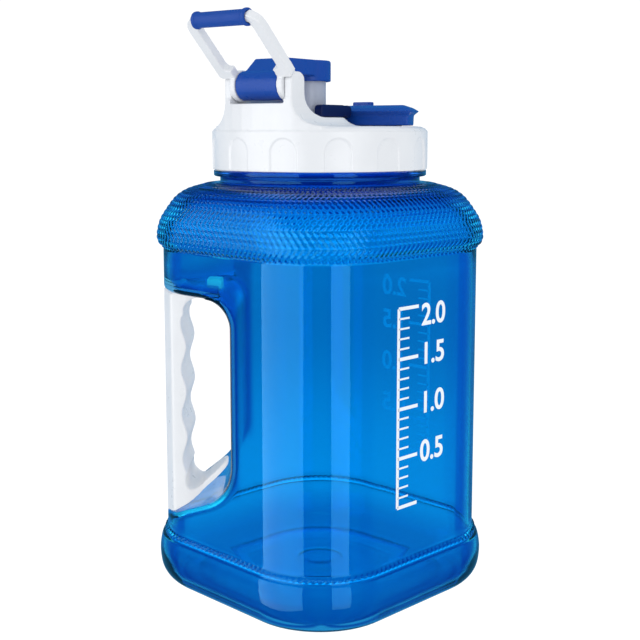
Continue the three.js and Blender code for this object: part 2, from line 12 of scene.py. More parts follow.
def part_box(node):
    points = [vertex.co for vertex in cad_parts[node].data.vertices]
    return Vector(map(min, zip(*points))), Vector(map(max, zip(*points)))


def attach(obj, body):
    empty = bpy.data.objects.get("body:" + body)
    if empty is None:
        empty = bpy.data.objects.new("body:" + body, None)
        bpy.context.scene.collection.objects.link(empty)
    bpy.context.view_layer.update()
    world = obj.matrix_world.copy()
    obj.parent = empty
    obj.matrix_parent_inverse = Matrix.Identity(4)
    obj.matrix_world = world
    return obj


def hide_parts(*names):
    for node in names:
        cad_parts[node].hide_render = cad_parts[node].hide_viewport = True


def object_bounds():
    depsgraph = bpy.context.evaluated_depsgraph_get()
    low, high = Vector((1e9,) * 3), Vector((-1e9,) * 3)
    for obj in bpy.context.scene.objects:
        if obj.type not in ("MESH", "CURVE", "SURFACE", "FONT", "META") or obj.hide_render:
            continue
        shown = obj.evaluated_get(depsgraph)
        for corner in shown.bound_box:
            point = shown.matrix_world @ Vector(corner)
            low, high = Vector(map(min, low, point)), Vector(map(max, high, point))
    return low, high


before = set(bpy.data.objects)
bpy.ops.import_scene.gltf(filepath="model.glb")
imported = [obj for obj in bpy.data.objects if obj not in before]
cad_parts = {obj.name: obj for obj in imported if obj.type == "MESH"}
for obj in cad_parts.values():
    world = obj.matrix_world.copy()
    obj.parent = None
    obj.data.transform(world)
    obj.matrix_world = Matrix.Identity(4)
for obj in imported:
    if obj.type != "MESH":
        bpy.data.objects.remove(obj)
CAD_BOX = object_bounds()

MM = 0.001

# ---- sizes, in millimetres, from the frame where a node gives them ----------
RIM_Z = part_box("bottle")[1][2] / MM
CORNER_REACH = 73.5  # axis to the middle of a rounded corner
CORNER_FRACTION = 0.576  # corner radius as a part of the half width. 1 is a circle
WALL = 1.8
BASE_EXTRA, BASE_THICK, BASE_THIN = 0.6, 3, 17  # added to the wall, full and none at these heights
WALL_BOTTOM, WALL_TOP = 26.4, 159.7
NECK_BASE = 190.5
NECK_R, MOUTH_R = 45.0, 42.8
THREAD_PITCH, THREAD_TURNS, THREAD_START_Z, THREAD_HEIGHT = 5.0, 1.2, 199.2, 1.9
THREAD_CREST, THREAD_FOOT = 0.5, 1.1  # half widths of the ridge

RECESS_CEILING = 140.0
RECESS_BACK = 39.3  # distance of the recess's back wall from the axis
RECESS_BEND = 12.0  # where the back wall curves into the ceiling
RECESS_FILLET = 24.0  # where the floor curves up into the back wall
RAMP_SLOPE, RAMP_AXIS_Z = 0.57, 75.5  # the recess's floor is z = slope * x + height at the axis
LIP_ROUND = 3.0  # rounding where the recess meets the outside
LIP_REACH = 44.0  # the ceiling's lip is rounded beyond this distance

# Spacing of the bottle's rows of points, and where the rows are close for the recess.
PUNT_STEP, RELIEF_STEP, RECESS_STEP, NECK_STEP = 1.2, 0.45, 0.8, 0.35
RAMP_FROM, RAMP_TO, BEND_FROM = 30, 74, 122

DASHES = 156  # slanted dashes in one row round the bottle
SAMPLES_PER_DASH = 5
ROW_HEIGHT = 2.6  # height of one row of the woven relief
ROWS_PER_LEAN = 3  # rows that lean one way
DASH_DEPTH = 0.48
RELIEF_FADE = (45, 50)  # distances up the dome where the relief fades out
DOME_ROPE_WIDTH, DOME_ROPE_DEPTH = 2.4, 0.9  # the twisted edge under the dome
ROPE_DROP, ROPE_WIDTH, ROPE_RISE = 0.5, 2.4, 0.7  # the twisted edge on the base, below the wall
GROOVE_WIDTH, GROOVE_DEPTH = 1.8, 0.6  # the groove under that edge

CAP_R, CAP_BOTTOM, SKIRT_TOP = 49.9, 196.4, 213.8
ARCH_COUNT, ARCH_HALF_WIDTH, ARCH_TOP, ARCH_DEPTH = 13, 6.3, 211.0, 0.6
ARCH_PHASE = math.radians(-80.9)

FACE_DISTANCE = 62.5  # axis to a flat face of the bottle
PRINT_CENTRE_Z, PRINT_HEIGHT = 94.5, 88.0
PRINT_LIFT, PRINT_THICKNESS = 0.06, 0.1
TICKS, TICKS_PER_NUMBER = 20, 5
LITRES_PER_NUMBER = 0.5
LINE_X, LINE_HALF_WIDTH = -15.0, 0.8
MAJOR_TICK, MINOR_TICK = (13.0, 0.75), (7.0, 0.4)  # length and half width
NUMBER_SIZE, NUMBER_BOLDNESS = 13.5, 0.25
TOP_NUMBER_DROP = 4.6  # the last number sits below its tick

# ---- camera, colours and light, in metres and degrees -----------------------
CAMERA_PLACE, CAMERA_DIP = (0, -0.5364, 0.2144), 7.487
CAMERA_LENS, CAMERA_SHIFT = 64.3, -0.0625
FLOOR_SIZE = 20

WALL_TINT, BASE_TINT_AND_SHADE, NECK_TINT_AND_SHADE = (0.012, 0.5, 0.88), (0.012, 0.26, 0.62), (0.012, 0.12, 0.57)
BASE_TINT_AND_SHADE_Z = (24, 4)  # the plastic is thicker, so deeper in colour, and painted shade stands in for the shadowed floor seen through it, from the first height to the second
# The colour deepens from the dome's top up the neck: partly its thicker plastic, partly painted shade under
# the cap
NECK_TINT_AND_SHADE_Z = (174, NECK_BASE)
RECESS_SHADE = (0.012, 0.2, 0.62)  # painted shade along the recess's back wall. It fades in over these three spans
RECESS_SHADE_X, RECESS_SHADE_LOW, RECESS_SHADE_HIGH = (-33.5, -37.5), (50, 62), (150, 143)

# Light of the studio: behind the jug, mirrored in its surfaces and as soft light on them.
BACKGROUND, REFLECTED, AMBIENT = (1.06, 1.06, 1.06), (0.04, 0.26, 0.5), (1.07, 1.07, 1.07)
# Seen through the bottle: from the floor up past the horizon to overhead. Each change runs
# between two values of the view direction's Z.
BELOW, BEHIND, HORIZON = (0.98, 0.98, 0.98), (0.58, 0.58, 0.66), (1.7, 1.7, 1.7)
OVERHEAD, BETWEEN = (0.02, 0.16, 0.55), (0.03, 0.24, 0.62)
TO_BEHIND, TO_HORIZON, TO_OVERHEAD = (-0.3, -0.16), (-0.14, -0.03), (0.05, 0.5)
BRIGHT_SIDES = 8  # bright panels all round, with the blue of BETWEEN between them
PANEL_EDGE = 0.9  # softness of their edges, as a cosine


# ---- small helpers ----------------------------------------------------------
def link(obj):
    bpy.context.scene.collection.objects.link(obj)
    return obj


def mesh_object(name, vertices, faces, smooth=True):
    """A new mesh object from points in millimetres."""
    data = bpy.data.meshes.new(name)
    data.from_pydata((np.asarray(vertices) * MM).tolist(), [], faces)
    data.validate()
    data.polygons.foreach_set("use_smooth", [smooth] * len(data.polygons))
    return link(bpy.data.objects.new(name, data))


def apply_modifiers(obj):
    graph = bpy.context.evaluated_depsgraph_get()
    made = bpy.data.meshes.new_from_object(obj.evaluated_get(graph))
    obj.modifiers.clear()
    obj.data = made
    return obj


def coordinates(obj):
    points = np.empty(3 * len(obj.data.vertices), np.float32)
    obj.data.vertices.foreach_get("co", points)
    return points.reshape(-1, 3).astype(float) / MM


def set_coordinates(obj, points):
    obj.data.vertices.foreach_set("co", (points * MM).astype(np.float32).ravel())
    obj.data.update()


def finish_piece(obj, material, body, slot, *nodes):
    obj.data.materials.clear()
    obj.data.materials.append(material)
    if nodes:
        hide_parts(*nodes)
    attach(obj, body)
    return obj


def smooth_step(low, high, value):
    t = np.clip((value - low) / (high - low), 0, 1)
    return t * t * (3 - 2 * t)


# ---- materials --------------------------------------------------------------
def new_material(name, color, roughness, **inputs):
    material = bpy.data.materials.new(name)
    material.use_nodes = True
    shader = material.node_tree.nodes["Principled BSDF"]
    shader.inputs["Base Color"].default_value = (*color, 1)
    shader.inputs["Roughness"].default_value = roughness
    for key, value in inputs.items():
        shader.inputs[key.replace("_", " ")].default_value = value
    return material, material.node_tree, shader


def noise(tree, scale, detail=2.0, stretch=(1, 1, 1)):
    """A noise texture over object coordinates, in cycles per metre."""
    place = tree.nodes.new("ShaderNodeTexCoord")
    mapping = tree.nodes.new("ShaderNodeMapping")
    mapping.inputs["Scale"].default_value = stretch
    texture = tree.nodes.new("ShaderNodeTexNoise")
    texture.inputs["Scale"].default_value = scale
    texture.inputs["Detail"].default_value = detail
    tree.links.new(place.outputs["Object"], mapping.inputs["Vector"])
    tree.links.new(mapping.outputs["Vector"], texture.inputs["Vector"])
    return texture.outputs["Fac"]


def remap(tree, source, low, high):
    """A noise's usual range spread from low to high."""
    node = tree.nodes.new("ShaderNodeMapRange")
    node.inputs["From Min"].default_value = 0.3
    node.inputs["From Max"].default_value = 0.7
    node.inputs["To Min"].default_value = low
    node.inputs["To Max"].default_value = high
    tree.links.new(source, node.inputs["Value"])
    return node.outputs["Result"]


def add_bump(tree, shader, height, strength, distance):
    bump = tree.nodes.new("ShaderNodeBump")
    bump.inputs["Strength"].default_value = strength
    bump.inputs["Distance"].default_value = distance
    tree.links.new(height, bump.inputs["Height"])
    tree.links.new(bump.outputs["Normal"], shader.inputs["Normal"])


def mixed(tree, factor, low, high):
    """low where the factor is 0, high where it is 1. Each is a colour or another output."""
    node = tree.nodes.new("ShaderNodeMix")
    node.data_type = "RGBA"
    tree.links.new(factor, node.inputs[0])
    for socket, value in ((node.inputs[6], low), (node.inputs[7], high)):
        if isinstance(value, tuple):
            socket.default_value = (*value, 1)
        else:
            tree.links.new(value, socket)
    return node.outputs[2]


def ramp(tree, source, start, end):
    """A smooth change from 0 at start to 1 at end."""
    node = tree.nodes.new("ShaderNodeMapRange")
    node.interpolation_type = "SMOOTHSTEP"
    node.inputs["From Min"].default_value = start
    node.inputs["From Max"].default_value = end
    tree.links.new(source, node.inputs["Value"])
    return node.outputs["Result"]


def parts_of(tree, coordinate):
    """The X, Y and Z of a texture coordinate."""
    place = tree.nodes.new("ShaderNodeTexCoord")
    split = tree.nodes.new("ShaderNodeSeparateXYZ")
    tree.links.new(place.outputs[coordinate], split.inputs["Vector"])
    return split.outputs


def worked_out(tree, operation, *values):
    """One sum on numbers or other outputs."""
    node = tree.nodes.new("ShaderNodeMath")
    node.operation = operation
    for socket, value in zip(node.inputs, values):
        if isinstance(value, (int, float)):
            socket.default_value = value
        else:
            tree.links.new(value, socket)
    return node.outputs[0]


def clear_blue():
    """Tinted clear plastic: slow ripples from blow moulding and a slightly uneven polish."""
    material, tree, shader = new_material(
        "clear_blue", WALL_TINT, 0.03, Transmission_Weight=1.0, IOR=1.5,
        Specular_Tint=(0.15, 0.65, 1.0, 1.0))
    tree.links.new(remap(tree, noise(tree, 40), 0.02, 0.06), shader.inputs["Roughness"])
    add_bump(tree, shader, noise(tree, 28, 1.0, (1, 1, 0.3)), 0.25, 0.001)
    place = parts_of(tree, "Object")

    def within(axis, limits):
        return ramp(tree, place[axis], limits[0] * MM, limits[1] * MM)

    # The base deepens in colour: partly its thicker plastic, partly painted shade for the shadowed floor
    # seen through it
    wall = mixed(tree, within("Z", BASE_TINT_AND_SHADE_Z), WALL_TINT, BASE_TINT_AND_SHADE)
    # Painted shade: the colour deepens along the recess's back wall
    recess_shade_height = worked_out(tree, "MULTIPLY", within("Z", RECESS_SHADE_LOW), within("Z", RECESS_SHADE_HIGH))
    recess_shade_mask = worked_out(tree, "MULTIPLY", recess_shade_height, within("X", RECESS_SHADE_X))
    side = mixed(tree, recess_shade_mask, wall, RECESS_SHADE)
    # Painted shade under the cap deepens the colour towards the neck, partly also for its thicker plastic
    tint_and_shade = mixed(tree, within("Z", NECK_TINT_AND_SHADE_Z), side, NECK_TINT_AND_SHADE)
    tree.links.new(tint_and_shade, shader.inputs["Base Color"])
    return material


def moulded_plastic(name, color, roughness, grain, shine=0.5):
    """Opaque moulded plastic: a fine grain, and colour and polish that vary a little."""
    material, tree, shader = new_material(name, color, roughness, IOR=1.5, Specular_IOR_Level=shine)
    mix = tree.nodes.new("ShaderNodeMix")
    mix.data_type = "RGBA"
    mix.inputs[6].default_value = (*(0.93 * c for c in color), 1)
    mix.inputs[7].default_value = (*(min(1.0, 1.05 * c) for c in color), 1)
    tree.links.new(noise(tree, 60, 4.0), mix.inputs["Factor"])
    tree.links.new(mix.outputs[2], shader.inputs["Base Color"])
    polish = remap(tree, noise(tree, 180), 0.8 * roughness, 1.25 * roughness)
    tree.links.new(polish, shader.inputs["Roughness"])
    add_bump(tree, shader, noise(tree, 2600, 3.0), grain, 0.0001)
    return material


# ---- bottle -----------------------------------------------------------------
def square_radius(angle, reach, fraction):
    """Distance from the axis to a rounded square with its corners on the X and Y axes."""
    half = reach / (math.sqrt(2) - fraction * (math.sqrt(2) - 1))
    from_side = np.abs(np.mod(angle, math.pi / 2) - math.pi / 4)
    straight = half * (1 - fraction)
    radius = half * fraction
    flat = half / np.cos(from_side)
    under_root = radius ** 2 - straight ** 2 * (1 - np.sin(2 * from_side))
    corner = straight * (np.cos(from_side) + np.sin(from_side)) + np.sqrt(np.maximum(under_root, 0))
    return np.where(half * np.tan(from_side) <= straight, flat, corner)


def even_angles(count):
    """Angles whose points are evenly spaced round the bottle's section."""
    fine = np.linspace(0, 2 * math.pi, 20001)
    r = square_radius(fine, CORNER_REACH, CORNER_FRACTION)
    steps = np.hypot(np.diff(r * np.cos(fine)), np.diff(r * np.sin(fine)))
    length = np.concatenate([[0], np.cumsum(steps)])
    return np.interp(np.arange(count) / count * length[-1], length, fine)


def spline(points, spacing):
    """A Catmull-Rom curve through rows of numbers, sampled about every spacing of (z, reach)."""
    points = np.array(points, float)
    ends = np.vstack([2 * points[0] - points[1], points, 2 * points[-1] - points[-2]])
    rows = []
    for k in range(1, len(ends) - 2):
        p0, p1, p2, p3 = ends[k - 1:k + 3]
        steps = max(1, round(float(np.hypot(*(p2 - p1)[:2])) / spacing))
        for t in np.arange(steps) / steps:
            rows.append(0.5 * (2 * p1 + (p2 - p0) * t + (2 * p0 - 5 * p1 + 4 * p2 - p3) * t ** 2
                               + (3 * p1 - p0 - 3 * p2 + p3) * t ** 3))
    return np.vstack([*rows, points[-1]])


def straight_rows(z_values, reach, fraction):
    return np.array([[z, reach, fraction] for z in z_values])


F = CORNER_FRACTION
PUNT = [[6.2, 0.6, 1], [6.2, 8, 1], [6, 10, 1], [5.6, 12, 1], [5.5, 18, 1], [5.3, 30, 0.95], [4.6, 40, 0.85],
        [3.2, 48, 0.75], [1.2, 55, 0.67], [0, 60, 0.62], [0, 67, 0.6]]
BAND = [[0, 67, 0.6], [1.3, 71.2, F], [4, 74.4, F], [8, 76.5, F], [14, 77.3, F], [19, 76.9, F],
        [23, 75.8, F], [WALL_BOTTOM, CORNER_REACH, F]]
DOME = [[WALL_TOP, CORNER_REACH, F], [162.2, 75.7, F], [165, 76.6, 0.58], [169, 76.2, 0.6],
        [173.6, 74.8, 0.64], [178, 72.1, 0.69], [182, 69.2, 0.74], [185, 66.2, 0.8], [187.7, 61.4, 0.87],
        [190, 53.5, 0.95]]


def wall_heights():
    """Heights of the straight wall's rows: close together at the ceiling and on the ramp."""
    below, above = RECESS_CEILING - 2, RECESS_CEILING + 4
    return np.concatenate([
        np.arange(WALL_BOTTOM + 0.6, RAMP_FROM, 2.0), np.arange(RAMP_FROM, RAMP_TO, RECESS_STEP),
        np.arange(RAMP_TO, BEND_FROM, 6.0), np.arange(BEND_FROM, below, RECESS_STEP),
        np.arange(below, above, RECESS_STEP / 4), np.arange(above, WALL_TOP - 0.4, 3.0), [WALL_TOP - 0.3]])


def bottle_profile():
    """Rows (z, reach, fraction, relief) up the outside. relief is 0 where the surface is plain."""
    punt = spline(PUNT, PUNT_STEP)
    band = spline(BAND, RELIEF_STEP)[1:]
    wall = straight_rows(wall_heights(), CORNER_REACH, F)
    dome = spline(DOME, RELIEF_STEP)
    neck_z = np.arange(CAP_BOTTOM, RIM_Z - 0.6, NECK_STEP)
    neck = np.vstack([
        [[190.4, 49.5, 0.99], [190.6, 47.2, 1], [191, 46.5, 1], [192.8, 46.5, 1], [193.2, 46.9, 1],
         [193.4, 48.9, 1], [193.8, 49.4, 1], [195.7, 49.4, 1], [196.1, 49.1, 1], [196.2, 45.3, 1]],
        straight_rows(neck_z, NECK_R, 1), [[RIM_Z - 0.4, NECK_R - 0.1, 1], [RIM_Z, NECK_R - 0.5, 1]]])
    parts = [(punt, 0), (band, 2), (wall, 0), (dome, 1), (neck, 0)]
    return np.vstack([np.column_stack([rows, np.full(len(rows), kind)]) for rows, kind in parts])


def inset(rows):
    """Profile rows moved inwards by the wall, square to the profile. The base is thicker."""
    wall = WALL + BASE_EXTRA * (1 - smooth_step(BASE_THICK, BASE_THIN, rows[:, 0]))
    slope = np.gradient(rows[:, :2], axis=0)
    length = np.hypot(slope[:, 0], slope[:, 1])
    moved = rows.copy()
    moved[:, 0] += wall * slope[:, 1] / length
    moved[:, 1] -= wall * slope[:, 0] / length
    return moved


def recess_depth(z, offset):
    """How far from the axis the finger recess reaches down to, at each height."""
    ceiling = RECESS_CEILING + offset
    tilt = math.hypot(1, RAMP_SLOPE)
    on_floor = (RAMP_AXIS_Z - offset * tilt - z) / RAMP_SLOPE
    bend = RECESS_BEND + offset
    rise = np.clip(z - (ceiling - bend), 0, bend)
    upper = RECESS_BACK - offset + bend - np.sqrt(np.maximum(bend ** 2 - rise ** 2, 0))
    fillet = RECESS_FILLET + offset
    centre = RECESS_BACK + RECESS_FILLET
    centre_z = RAMP_AXIS_Z - RAMP_SLOPE * centre + RECESS_FILLET * tilt
    fall = np.clip(centre_z - z, 0, fillet / tilt)
    lower = np.where(centre_z - z < fillet / tilt, centre - np.sqrt(fillet ** 2 - fall ** 2), on_floor)
    return np.where(z > ceiling, 1e3, np.where(z < centre_z, lower, upper))


def carve(points, offset):
    """Points pushed in to the recess, rounded where it meets the outside."""
    x, z = points[..., 0], points[..., 2]
    reach = -x
    limit = recess_depth(z, offset)
    soft = np.clip(0.5 + 0.5 * (reach - limit) / LIP_ROUND, 0, 1)
    carved = reach + (limit - reach) * soft - LIP_ROUND * soft * (1 - soft)
    above = np.clip((RECESS_CEILING + offset + LIP_ROUND - z) / LIP_ROUND, 0, 1)
    lip = reach - LIP_ROUND * (1 - np.sqrt(1 - above ** 2))
    in_recess = (z <= RECESS_CEILING + offset) & (z > WALL_BOTTOM)
    above_ceiling = z - RECESS_CEILING - offset
    in_lip = (above_ceiling > 0) & (above_ceiling < LIP_ROUND) & (reach > LIP_REACH)
    result = points.copy()
    result[..., 0] = -np.where(in_recess, carved, np.where(in_lip, lip, reach))
    return result


def surface(rows, angles, offset):
    """Points of the bottle's outside or inside, one line of them for each profile row."""
    z, reach, fraction = rows[:, :1], rows[:, 1:2], rows[:, 2:3]
    r = square_radius(angles[None, :], reach, fraction)
    z = np.broadcast_to(np.maximum(z, 0), r.shape)
    points = np.stack([r * np.cos(angles), r * np.sin(angles), z], axis=-1)
    return carve(points, offset)


def grid_normals(points):
    across = np.roll(points, -1, axis=1) - np.roll(points, 1, axis=1)
    up = np.gradient(points, axis=0)
    normal = np.cross(across, up)
    return normal / np.maximum(np.linalg.norm(normal, axis=-1, keepdims=True), 1e-9)


def woven(along, across):
    """Height from 0 to 1 of rows of slanted dashes. They lean one way for a few rows, then back."""
    row = np.floor(across)
    place = across - row
    turn = np.abs(np.mod(row, 2 * ROWS_PER_LEAN) + place - ROWS_PER_LEAN)
    dash = 0.5 + 0.5 * np.cos(2 * math.pi * (along + 0.6 * turn))
    return dash * (0.35 + 0.65 * np.sin(math.pi * place))


def rope(along, height, width):
    """A twisted edge: height from 0 to 1 within width of the profile."""
    place = np.clip(height / width, 0, 1)
    twist = 0.5 + 0.5 * np.cos(2 * math.pi * (along + 0.6 * place))
    return (0.1 + 0.9 * twist) * np.sin(math.pi * place)


def relief(rows, columns):
    """How far each point sinks below the smooth surface. It is less than 0 where it stands out."""
    step = np.hypot(*np.gradient(rows[:, :2], axis=0).T)
    along = (np.arange(columns) * DASHES / columns)[None, :]
    sink = np.zeros((len(rows), columns))
    dome = rows[:, 3] == 1
    height = np.cumsum(step[dome])[:, None]
    fade = 1 - smooth_step(*RELIEF_FADE, height)
    sink[dome] = DASH_DEPTH * (1 - woven(along, height / ROW_HEIGHT)) * fade
    edge = DOME_ROPE_DEPTH * (1 - rope(along, height, DOME_ROPE_WIDTH))
    sink[dome] = np.where(height < DOME_ROPE_WIDTH, edge, sink[dome])
    band = rows[:, 3] == 2
    drop = np.cumsum(step[band][::-1])[::-1][:, None] - ROPE_DROP
    on_rope = (drop > 0) & (drop < ROPE_WIDTH)
    groove = np.clip((drop - ROPE_WIDTH) / GROOVE_WIDTH, 0, 1)
    rise = np.where(on_rope, ROPE_RISE * rope(along, drop, ROPE_WIDTH), 0)
    sink[band] = GROOVE_DEPTH * np.sin(math.pi * groove) - rise
    return sink


def thread_bump(rows, angles):
    """The ridge of the screw thread on the neck."""
    turns = np.arange(math.ceil(THREAD_TURNS))[:, None, None] + (angles / (2 * math.pi))[None, None, :]
    centre = THREAD_START_Z + THREAD_PITCH * turns
    gap = np.abs(rows[:, 0][None, :, None] - centre)
    height = THREAD_HEIGHT * (1 - smooth_step(THREAD_CREST, THREAD_FOOT, gap))
    ends = smooth_step(0, 0.03, turns) * (1 - smooth_step(THREAD_TURNS - 0.03, THREAD_TURNS, turns))
    return (height * ends).max(axis=0)


def grid_faces(rows, columns, start=0, flip=False):
    """Quads between neighbouring rows of points that run all the way round."""
    k = np.arange(rows - 1)[:, None] * columns + start
    a = np.arange(columns)[None, :]
    b = np.roll(a, -1)
    quads = [k + a, k + b, k + b + columns, k + a + columns]
    if flip:
        quads.reverse()
    whole = [np.broadcast_to(quad, (rows - 1, columns)) for quad in quads]
    return np.stack(whole, axis=-1).reshape(-1, 4).tolist()


def bottle():
    """Outside with its relief, inside without, joined by the rim: one closed wall."""
    columns = DASHES * SAMPLES_PER_DASH
    angles = even_angles(columns)
    rows = bottle_profile()
    outside = surface(rows, angles, 0.0)
    outside -= grid_normals(outside) * relief(rows, columns)[..., None]
    bump = thread_bump(rows, angles)
    outside[..., 0] += bump * np.cos(angles)
    outside[..., 1] += bump * np.sin(angles)
    body = rows[rows[:, 0] < NECK_BASE]
    inner_neck = [[NECK_BASE - 1.2, 46, 1, 0], [NECK_BASE + 0.5, MOUTH_R + 0.6, 1, 0],
                  [NECK_BASE + 3, MOUTH_R, 1, 0], [RIM_Z - 0.5, MOUTH_R, 1, 0],
                  [RIM_Z, MOUTH_R + 0.4, 1, 0]]
    inner_rows = np.vstack([inset(body)[::2], inner_neck])
    inside = surface(inner_rows, angles, WALL)
    count_out, count_in = len(rows), len(inner_rows)
    vertices = np.vstack([outside.reshape(-1, 3), inside.reshape(-1, 3)])
    first_inside = count_out * columns
    faces = grid_faces(count_out, columns) + grid_faces(count_in, columns, first_inside, flip=True)
    rim_out = (count_out - 1) * columns + np.arange(columns)
    rim_in = first_inside + (count_in - 1) * columns + np.arange(columns)
    faces += np.stack([rim_out, np.roll(rim_out, -1), np.roll(rim_in, -1), rim_in], axis=-1).tolist()
    faces.append(list(range(columns))[::-1])
    faces.append(list(range(first_inside, first_inside + columns)))
    return mesh_object("bottle_wall", vertices, faces)


# ---- moulded pieces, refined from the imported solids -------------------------
def refined(name, node, voxel, passes, shape):
    """A finer copy of a CAD node: remeshed, its edges softened, then shaped by a function."""
    obj = link(bpy.data.objects.new(name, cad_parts[node].data.copy()))
    remesh = obj.modifiers.new("remesh", "REMESH")
    remesh.mode = "VOXEL"
    remesh.voxel_size = voxel * MM
    soften = obj.modifiers.new("soften", "SMOOTH")
    soften.factor = 0.5
    soften.iterations = passes
    apply_modifiers(obj)
    if shape:
        set_coordinates(obj, shape(coordinates(obj)))
    obj.data.polygons.foreach_set("use_smooth", [True] * len(obj.data.polygons))
    return obj


def rounded(points, radius, tolerance, low, high):
    """Points near an upright cylinder's wall, between two heights, put exactly on it."""
    distance = np.hypot(points[:, 0], points[:, 1])
    near = (np.abs(distance - radius) < tolerance) & (points[:, 2] > low) & (points[:, 2] < high)
    scale = np.where(near, radius / np.maximum(distance, 1e-6), 1)
    return np.column_stack([points[:, 0] * scale, points[:, 1] * scale, points[:, 2]])


def shape_cap(points):
    """The skirt made truly round, with a ring of shallow arched recesses."""
    points = rounded(points, CAP_R, 0.75, CAP_BOTTOM + 0.5, SKIRT_TOP)
    r = np.hypot(points[:, 0], points[:, 1])
    angle = np.arctan2(points[:, 1], points[:, 0])
    pitch = 2 * math.pi / ARCH_COUNT
    side = (np.mod(angle - ARCH_PHASE + pitch / 2, pitch) - pitch / 2) * CAP_R
    shoulder = ARCH_TOP - ARCH_HALF_WIDTH
    rise = np.maximum(points[:, 2] - shoulder, 0)
    inside = ARCH_HALF_WIDTH - np.hypot(side, rise)
    depth = ARCH_DEPTH * smooth_step(-0.2, 0.75, inside)
    depth = np.where((r > CAP_R - 0.9) & (points[:, 2] < ARCH_TOP + 1), depth, 0)
    scale = np.where(depth > 0, np.minimum(CAP_R - depth, r) / r, 1)
    return np.column_stack([points[:, 0] * scale, points[:, 1] * scale, points[:, 2]])


# ---- printed scale ----------------------------------------------------------
def bar(x0, y0, x1, y1):
    return [(x0, y0), (x1, y0), (x1, y1), (x0, y1)]


def tick_height(k):
    return -PRINT_HEIGHT / 2 + PRINT_HEIGHT * k / TICKS


def printed_scale():
    """Outlines in the face's own plane: a line with ticks along it."""
    shapes = [bar(LINE_X - LINE_HALF_WIDTH, tick_height(0), LINE_X + LINE_HALF_WIDTH, tick_height(TICKS))]
    for k in range(TICKS + 1):
        length, half = MINOR_TICK if k % TICKS_PER_NUMBER else MAJOR_TICK
        shapes.append(bar(LINE_X, tick_height(k) - half, LINE_X + length, tick_height(k) + half))
    return shapes


def plates(name, outlines):
    """Thin flat plates, just clear of the face."""
    vertices, faces = [], []
    for outline in outlines:
        start = len(vertices)
        n = len(outline)
        vertices += [(x, y, PRINT_LIFT) for x, y in outline]
        vertices += [(x, y, PRINT_LIFT + PRINT_THICKNESS) for x, y in outline]
        faces.append([start + k for k in range(n)][::-1])
        faces.append([start + n + k for k in range(n)])
        for k in range(n):
            after = (k + 1) % n
            faces.append([start + k, start + after, start + n + after, start + n + k])
    return mesh_object(name, vertices, faces, smooth=False)


def number_plate(name, litres, height):
    text = bpy.data.curves.new(f"{name}_number", "FONT")
    text.body = f"{litres:.1f}"
    text.size = NUMBER_SIZE * MM
    text.extrude = PRINT_THICKNESS / 2 * MM
    text.offset = NUMBER_BOLDNESS * MM
    text.align_y = "CENTER"
    number = link(bpy.data.objects.new(f"{name}_number", text))
    graph = bpy.context.evaluated_depsgraph_get()
    mesh = bpy.data.meshes.new_from_object(number.evaluated_get(graph))
    bpy.data.objects.remove(number)
    mesh.transform(Matrix.Translation(Vector((0, height, PRINT_LIFT + PRINT_THICKNESS / 2)) * MM))
    return mesh


def print_piece(name, turn):
    """The scale on one flat face. turn is the angle of the face's outward normal."""
    obj = plates(name, printed_scale())
    join = bmesh.new()
    join.from_mesh(obj.data)
    for k in range(TICKS_PER_NUMBER, TICKS + 1, TICKS_PER_NUMBER):
        drop = TOP_NUMBER_DROP if k == TICKS else 0
        litres = LITRES_PER_NUMBER * k / TICKS_PER_NUMBER
        join.from_mesh(number_plate(name, litres, tick_height(k) - drop))
    join.to_mesh(obj.data)
    join.free()
    normal = Vector((math.cos(turn), math.sin(turn), 0))
    side = Vector((-math.sin(turn), math.cos(turn), 0))
    obj.data.transform(Matrix((
        (side.x, 0, normal.x, FACE_DISTANCE * MM * normal.x),
        (side.y, 0, normal.y, FACE_DISTANCE * MM * normal.y),
        (0, 1, 0, PRINT_CENTRE_Z * MM), (0, 0, 0, 1))))
    return obj


# ---- stage, camera and light ------------------------------------------------
def camera():
    data = bpy.data.cameras.new("camera")
    data.lens = CAMERA_LENS
    data.shift_y = CAMERA_SHIFT
    obj = link(bpy.data.objects.new("camera", data))
    obj.location = CAMERA_PLACE
    obj.rotation_euler = (math.radians(90 - CAMERA_DIP), 0, 0)
    bpy.context.scene.camera = obj


def softbox(name, place, target, size, radiance):
    """A rectangular panel that shines towards a target, unseen by the camera itself."""
    data = bpy.data.lights.new(name, "AREA")
    data.shape = "RECTANGLE"
    data.size, data.size_y = size
    data.energy = radiance * math.pi * size[0] * size[1]
    obj = link(bpy.data.objects.new(name, data))
    obj.location = place
    obj.rotation_euler = (Vector(target) - Vector(place)).to_track_quat("-Z", "Y").to_euler()
    obj.visible_camera = False
    return obj


def floor():
    """One plain pale floor under the jug, lit a little from below like a light table."""
    material, tree, shader = new_material(
        "floor", (0.6, 0.6, 0.6), 0.7, Specular_IOR_Level=0.0, Emission_Color=(1, 1, 1, 1),
        Emission_Strength=0.45)
    tree.links.new(remap(tree, noise(tree, 30), 0.65, 0.75), shader.inputs["Roughness"])
    size, z = FLOOR_SIZE / MM, CAD_BOX[0][2] / MM
    corners = [(-size, -size, z), (size, -size, z), (size, size, z), (-size, size, z)]
    plane = mesh_object("floor", corners, [[0, 1, 2, 3]])
    plane.data.materials.append(material)
    plane.visible_glossy = False
    plane.visible_transmission = False


